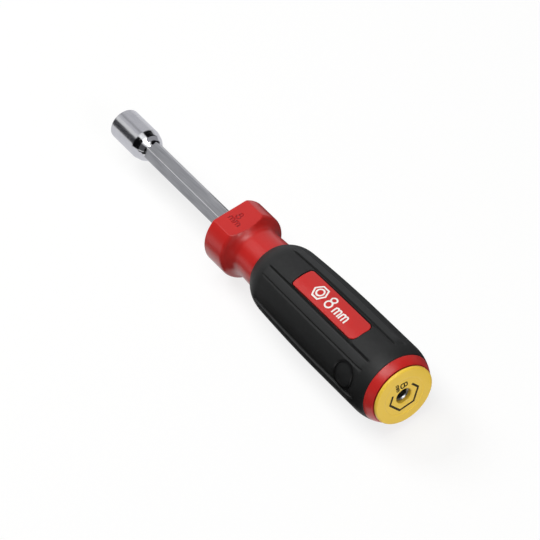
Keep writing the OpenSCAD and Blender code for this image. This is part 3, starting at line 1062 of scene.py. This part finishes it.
# %% [markdown]
# ## Plastics, rubber and ink
# The core and the cap are moulded in semi-gloss plastic. A mould leaves a fine, even grain that
# breaks up the gloss, and the colour drifts slightly where the melt flowed. The grip is a
# thermoplastic rubber, nearly black and matt, with a coarser grain, and its raised strips are drawn
# a little paler than the panels. The moulded ring is the same rubber from a polished patch of the
# mould. Ink dries to the same kind of surface, so one function serves all of them. The core mixes in
# a painted shade, and the grip the paler colour of its strips.

# %% Moulded finishes
GLOSS_DRIFT = 0.06


def moulded(name, dark, light, rough, drift_mm, grain_mm, grain_depth, specular=0.5, painted=None):
    """A moulded surface: slow drift of colour, fine grain in gloss and bump. Sizes are in mm.
    Painted is a number stored on the points, the share of it, and the colour it mixes in."""
    made, tree = material(name)
    place = add(tree, "TexCoord").outputs["Object"]
    drift = add(tree, "TexNoise", {"Vector": place, "Scale": per_mm(drift_mm), "Detail": 2.0})
    grain = add(tree, "TexNoise", {"Vector": place, "Scale": per_mm(grain_mm), "Detail": 4.0})
    colour = add(tree, "Mix", {MIX_FACTOR: drift, MIX_A: linear(dark), MIX_B: linear(light)},
                 data_type="RGBA")
    if painted:
        attribute, share, other = painted
        stored = add(tree, "Attribute", attribute_name=attribute).outputs["Fac"]
        mixed = add(tree, "Math", {0: stored, 1: share}, operation="MULTIPLY")
        colour = add(tree, "Mix", {MIX_FACTOR: mixed, MIX_A: colour, MIX_B: linear(other)},
                     data_type="RGBA")
    gloss = add(tree, "MapRange",
                {"Value": grain, "To Min": rough - GLOSS_DRIFT, "To Max": rough + GLOSS_DRIFT})
    bump = add(tree, "Bump", {"Height": grain, "Strength": 0.5, "Distance": grain_depth * MM})
    surface = add(tree, "BsdfPrincipled", {
        "Base Color": colour, "Roughness": gloss, "IOR": 1.5, "Specular IOR Level": specular,
        "Normal": bump})
    add(tree, "OutputMaterial", {"Surface": surface})
    return made


# After two colours each finish has its roughness, then its drift, grain and depth of grain in mm.
# Red polypropylene, semi-gloss. A painted shade deepens its red on the floor of the size mark and
# in the gap before the cap, where little light gets in.
red_plastic = moulded(
    "moulded_polypropylene_red", "#BD2321", "#C72824", 0.3, 9, 0.4, 0.004,
    painted=("mark", 1.0, "#98131A"))
# Yellow polypropylene from the same press: a little softer in gloss than the red.
yellow_plastic = moulded("moulded_polypropylene_yellow", "#F2C943", "#F7CF4C", 0.36, 9, 0.4, 0.004)
# Printed ink is thin and dry. The dark one hardly shines, so it stays dark against the light.
dark_ink = moulded("pad_print_ink_dark", "#261C08", "#30250E", 0.5, 2, 0.2, 0.003, specular=0.15)
white_ink = moulded("pad_print_ink_white", "#E9E7E2", "#F4F2EE", 0.5, 2, 0.2, 0.003)
# Overmoulded rubber: a matt near-black that lifts to charcoal on the raised strips.
black_rubber = moulded(
    "overmoulded_rubber_black", "#090A0A", "#191A1A", 0.56, 1.6, 0.5, 0.03,
    painted=("strip", 0.6, "#282929"))
# The ring's patch of the mould is polished, which gives its line a shine on the matt panel.
ring_rubber = moulded("overmoulded_rubber_polished", "#0A0A0A", "#131313", 0.3, 2, 0.3, 0.004)

# %% [markdown]
# ## Putting the pieces on the frame
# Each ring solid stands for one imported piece, and each ribbon rides along with the piece that
# carries it. The tool has no moving part, so everything rides on one body.

# %% Riding
for piece, node, slot, finish in (
        (socket, "socket", "polished_chrome", socket_chrome),
        (shaft, "hex_shaft", "satin_chrome", shaft_chrome),
        (core, "handle_core", "red_plastic", red_plastic),
        (grip, "grip_sleeve", "black_rubber", black_rubber),
        (cap, "end_cap", "yellow_plastic", yellow_plastic),
        (cap_hexagon, None, "yellow_plastic", dark_ink),
        (cap_eight, None, "yellow_plastic", dark_ink),
        (cap_unit, None, "yellow_plastic", dark_ink),
        (field_ink, None, "red_plastic", white_ink),
        (grip_ring, None, "black_rubber", ring_rubber)):
    piece.data.materials.append(finish)
    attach(piece, "root")
    if node:
        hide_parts(node)
    print(f"{piece.name} rides on root in slot {slot}")

# %% [markdown]
# ## The table
# On a photographer's table the tool lies on a wide sheet of white paper. The paper and the air are
# white to the eye and to reflections, and the paper still takes the tool's shadow. Paper this bright
# would throw red and yellow glare back under the handle, so it is greyer to the light that bounces
# between surfaces. A brighter lamp could make the paper white too, but it would bleach the tool.

# %% Table
AIR_LIGHT, PAPER_GLOW = 0.08, 0.8
TABLE_HALF = 6000


def seen_directly(tree):
    """1 for camera, glossy and transmission rays, which should meet a white background, and 0 for
    the rest: the largest of the three."""
    path = add(tree, "LightPath").outputs
    either = add(tree, "Math", {0: path["Is Camera Ray"], 1: path["Is Glossy Ray"]},
                 operation="MAXIMUM")
    return add(tree, "Math", {0: either, 1: path["Is Transmission Ray"]}, operation="MAXIMUM")


def paper():
    """White paper: matt, with a trace of tooth. A share of plain white keeps it white and its
    shadow soft, and light that bounces off it meets a greyer sheet."""
    made, tree = material("matt_paper_white")
    place = add(tree, "TexCoord").outputs["Object"]
    # The tooth of paper is about 0.1 mm. It is drawn at 2 mm so that a trace of it shows.
    tooth = add(tree, "TexNoise", {"Vector": place, "Scale": per_mm(2), "Detail": 2.0})
    white = add(tree, "Mix", {MIX_FACTOR: tooth, MIX_A: linear("#F6F6F4"), MIX_B: linear("#FBFBFA")},
                data_type="RGBA")
    seen = seen_directly(tree)
    colour = add(tree, "Mix", {MIX_FACTOR: seen, MIX_A: linear("#B2B2B0"), MIX_B: white},
                 data_type="RGBA")
    sheet = add(tree, "BsdfDiffuse", {"Color": colour})
    share = add(tree, "Math", {0: seen, 1: PAPER_GLOW}, operation="MULTIPLY")
    glow = add(tree, "Emission", {"Strength": 1.0})
    both = add(tree, "MixShader", {0: share, 1: sheet, 2: glow})
    add(tree, "OutputMaterial", {"Surface": both})
    return made


table_corners = np.array([(-1, -1, 0), (1, -1, 0), (1, 1, 0), (-1, 1, 0)]) * TABLE_HALF
table = mesh_piece("paper_table", table_corners, np.array([[0, 1, 2, 3]]))
table.data.materials.append(paper())

world = bpy.data.worlds.new("studio_air")
world.use_nodes = True
air = world.node_tree
air.nodes.clear()
level = add(air, "MapRange", {"Value": seen_directly(air), "To Min": AIR_LIGHT, "To Max": 1.0})
sky = add(air, "Background", {"Strength": level})
add(air, "OutputWorld", {"Surface": sky})
bpy.context.scene.world = world

# %% [markdown]
# ## Cards for the chrome
# Chrome is only as good as what it reflects. A photographer puts black cards round bright metal to
# draw dark bands down it, and pale cards to fill the rest. Most cards here are curved panels of a
# drum round the tool, so that a card's angle is the angle at which the metal shows it. The others lie
# just above the paper. Lamps could draw bright bands instead, but they would light the handle too.
# Only reflections see the cards.

# %% Cards
DRUM_R, CARD_HEIGHT = 900, 0.3


def card_finish(name, hex_colour):
    """A card seen only in reflections: it shines with its own colour, so lamps don't change it."""
    made, tree = material(name)
    glow = add(tree, "Emission", {"Color": linear(hex_colour)})
    add(tree, "OutputMaterial", {"Surface": glow})
    return made


def hang(name, grid, finish):
    """A sheet of quads over a grid of two rows, which only reflections see."""
    cols = grid.shape[1]
    j = np.arange(cols - 1)
    quads = np.stack([j, j + 1, cols + j + 1, cols + j], -1)
    panel = mesh_piece(name, grid.reshape(-1, 3), quads)
    panel.data.materials.append(finish)
    for ray in ("camera", "diffuse", "shadow", "transmission"):
        setattr(panel, f"visible_{ray}", False)


def drum_card(name, x_range, angle_range, finish):
    """A panel of the drum: x over its range, and y = R sin(a), z = axis + R cos(a) over its
    angles a from overhead."""
    x = np.linspace(*x_range, 2)[:, None]
    angle = np.radians(np.linspace(*angle_range, 25))[None, :]
    y, z = DRUM_R * np.sin(angle), AXIS_Z + DRUM_R * np.cos(angle)
    hang(name, np.stack(np.broadcast_arrays(x, y, z), -1), finish)


def table_card(name, x_range, y_range, finish):
    """A flat card just above the paper."""
    x, y = np.meshgrid(x_range, y_range, indexing="ij")
    hang(name, np.stack([x, y, np.full(x.shape, CARD_HEIGHT)], -1), finish)


black = card_finish("card_black", "#0E0E10")
slate = card_finish("card_slate", "#3A3A3E")
charcoal = card_finish("card_charcoal", "#555558")
grey = card_finish("card_grey", "#9D9DA1")
pale = card_finish("card_pale", "#C6C6CA")
bright = card_finish("card_bright", "#DCDCE0")
for card in (
        ("left_low_card", (-1700, -430), (-85, -40), slate),
        ("left_taper_card", (-430, 60), (-95, -19), black),
        ("left_rear_card", (60, 700), (-85, -38), charcoal),
        ("rear_left_card", (700, 1700), (-90, -38), black),
        ("right_taper_card", (-430, -150), (16, 92), black),
        ("throat_high_card", (-150, 235), (2, 40), grey),
        ("throat_top_card", (235, 330), (-9, 24), bright),
        ("throat_low_card", (-150, 150), (40, 92), grey),
        ("rear_right_high_card", (235, 1700), (24, 40), black),
        ("rear_right_low_card", (150, 1700), (40, 92), black),
        ("front_top_card", (-1700, -450), (-16, 4), pale),
        ("front_gap_card", (-1700, -450), (4, 19), grey),
        ("front_right_card", (-1700, -450), (19, 90), pale)):
    drum_card(*card)
for card in (
        ("left_table_card", (-58, 900), (-900, -36), black),
        ("left_foot_card", (-8, 85), (-36, -18), black),
        ("cap_foot_card", (103, 300), (-36, -18), black),
        ("right_table_card", (-58, 900), (17, 900), charcoal),
        ("front_table_card", (-500, -58), (-500, 500), bright)):
    table_card(*card)

# %% [markdown]
# ## Lamps
# Four soft boxes light the tool at a plain level. A wide one hangs overhead and draws the soft
# highlights along the plastics. One fills from the front, one stands high behind the cap, and a small
# one lies low behind it and lights the cap's face. A sun lamp would need no placing, but its shadow
# would be too hard for a studio.

# %% Lamps
def stand(piece, right, up, back, place):
    """Stands a lamp or a camera at place, in metres, by the columns of its matrix."""
    pose = np.eye(4)
    pose[:3] = np.stack([right, up, back, place], -1)
    piece.matrix_world = Matrix(pose.tolist())


def soft_box(name, place, target, size, watts, mirrored=True):
    """A rectangular lamp at place, in metres, that points at target. Its back is the direction
    from target to place, and its side is level. Metal shows it only if it is mirrored."""
    lamp = bpy.data.lights.new(name, "AREA")
    lamp.shape = "RECTANGLE"
    lamp.size, lamp.size_y = size
    lamp.energy = watts
    made = linked(name, lamp)
    away = np.asarray(place, float) - np.asarray(target, float)
    back = away / np.linalg.norm(away)
    side = np.cross((0.0, 1.0, 0.0), back)
    side = side / np.linalg.norm(side)
    stand(made, side, np.cross(back, side), back, place)
    made.visible_camera = False
    made.visible_glossy = mirrored
    print(f"{name}: {watts} W")


soft_box("overhead_box", (0.15, -0.12, 1.15), (0.15, -0.12, 0), (0.9, 0.77), 8)
soft_box("front_box", (-0.95, -0.15, 0.95), (0, 0, 0), (0.6, 0.6), 10.5, mirrored=False)
soft_box("rear_box", (1.5, -0.1, 1.0), (0, 0, 0), (0.36, 0.36), 4.3)
soft_box("low_rear_box", (0.9, 0.0, 0.045), (0.0, 0, 0.0157), (0.07, 0.14), 2.3, mirrored=False)

# %% [markdown]
# ## The camera
# The photograph looks down on the tool from behind its cap, at about 47 degrees, with a long lens
# and the frame rolled so that the tool lies along a diagonal. The camera is set by the direction it
# looks from, that roll, its distance and its focal length, and then slid sideways so that the middle
# of the axis falls on the pixel where the photograph has it.

# %% Camera
FRAME_PIXELS = 540
FOCAL_PIXELS, CAMERA_DISTANCE = 3550.0, 1325.7
SIDE_TURN, AXIS_LEAN, FRAME_ROLL = (math.radians(angle) for angle in (22, 51.85, 44.318))
AXIS_MIDDLE_PIXEL = (257.88, 253.48)
SENSOR_MM = 36.0

lean_in, lean_out = math.cos(AXIS_LEAN), math.sin(AXIS_LEAN)
towards = np.array([lean_in, -lean_out * math.sin(SIDE_TURN), lean_out * math.cos(SIDE_TURN)])
across = np.array([0.0, math.cos(SIDE_TURN), math.sin(SIDE_TURN)])
down_axis = np.cross(across, towards)
right = math.cos(FRAME_ROLL) * down_axis + math.sin(FRAME_ROLL) * across
up = math.cos(FRAME_ROLL) * across - math.sin(FRAME_ROLL) * down_axis
pixel_mm = CAMERA_DISTANCE / FOCAL_PIXELS
slide = ((FRAME_PIXELS - 1) / 2 - np.array(AXIS_MIDDLE_PIXEL)) * pixel_mm
aim = np.array([0.0, 0.0, AXIS_Z]) + slide[0] * right - slide[1] * up

lens = bpy.data.cameras.new("photo_camera")
lens.sensor_width = SENSOR_MM
lens.lens = FOCAL_PIXELS / FRAME_PIXELS * SENSOR_MM
camera = linked("photo_camera", lens)
stand(camera, right, up, towards, (aim + towards * CAMERA_DISTANCE) * MM)
bpy.context.scene.camera = camera
bpy.context.scene.view_settings.view_transform = "Standard"
print(f"camera {lens.lens:.0f} mm, {CAMERA_DISTANCE:.0f} mm from the tool")
